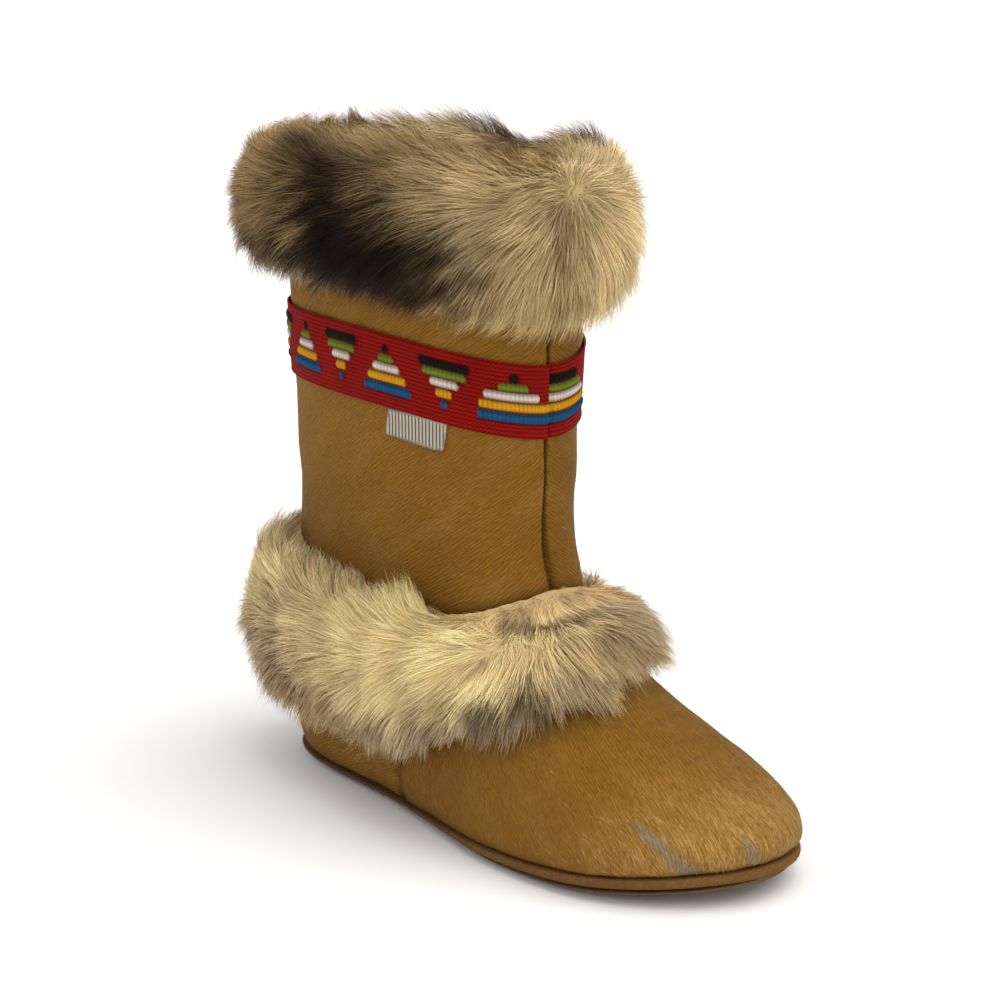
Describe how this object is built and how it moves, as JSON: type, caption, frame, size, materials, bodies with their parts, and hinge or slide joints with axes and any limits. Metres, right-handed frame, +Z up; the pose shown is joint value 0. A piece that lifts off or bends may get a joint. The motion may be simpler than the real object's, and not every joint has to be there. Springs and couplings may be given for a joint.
{
  "type": "apres-ski boot",
  "caption": "Short pull-on winter boot of hair-on hide with a fur cuff, a fur band round the ankle and a woven tape round the shaft.",
  "frame": {"origin": "centre of the heel's flat on the floor, under the outsole", "axes": "+X to the toe, +Y to the inner side of the foot, +Z up"},
  "size_m": [0.2933, 0.1324, 0.2632],
  "materials": {
    "crepe": "matte pale crepe",
    "leather": "soft brown leather wrap",
    "felt": "wool felt",
    "hide": "short golden-brown hair-on hide",
    "shaft_hide": "short golden-brown hair-on hide",
    "tape": "red woven tape with a row of stepped triangles",
    "label_cloth": "grey woven cloth",
    "cuff_fur": "deep cream, tan and black-brown fur",
    "trim_fur": "deep cream and grey-brown fur"
  },
  "bodies": {
    "root": {"outsole": "crepe", "midsole": "leather", "insole": "felt", "upper": "hide", "shaft": "shaft_hide", "woven_tape": "tape", "label": "label_cloth", "fur_cuff": "cuff_fur", "ankle_fur": "trim_fur"}
  },
  "joints": []
}
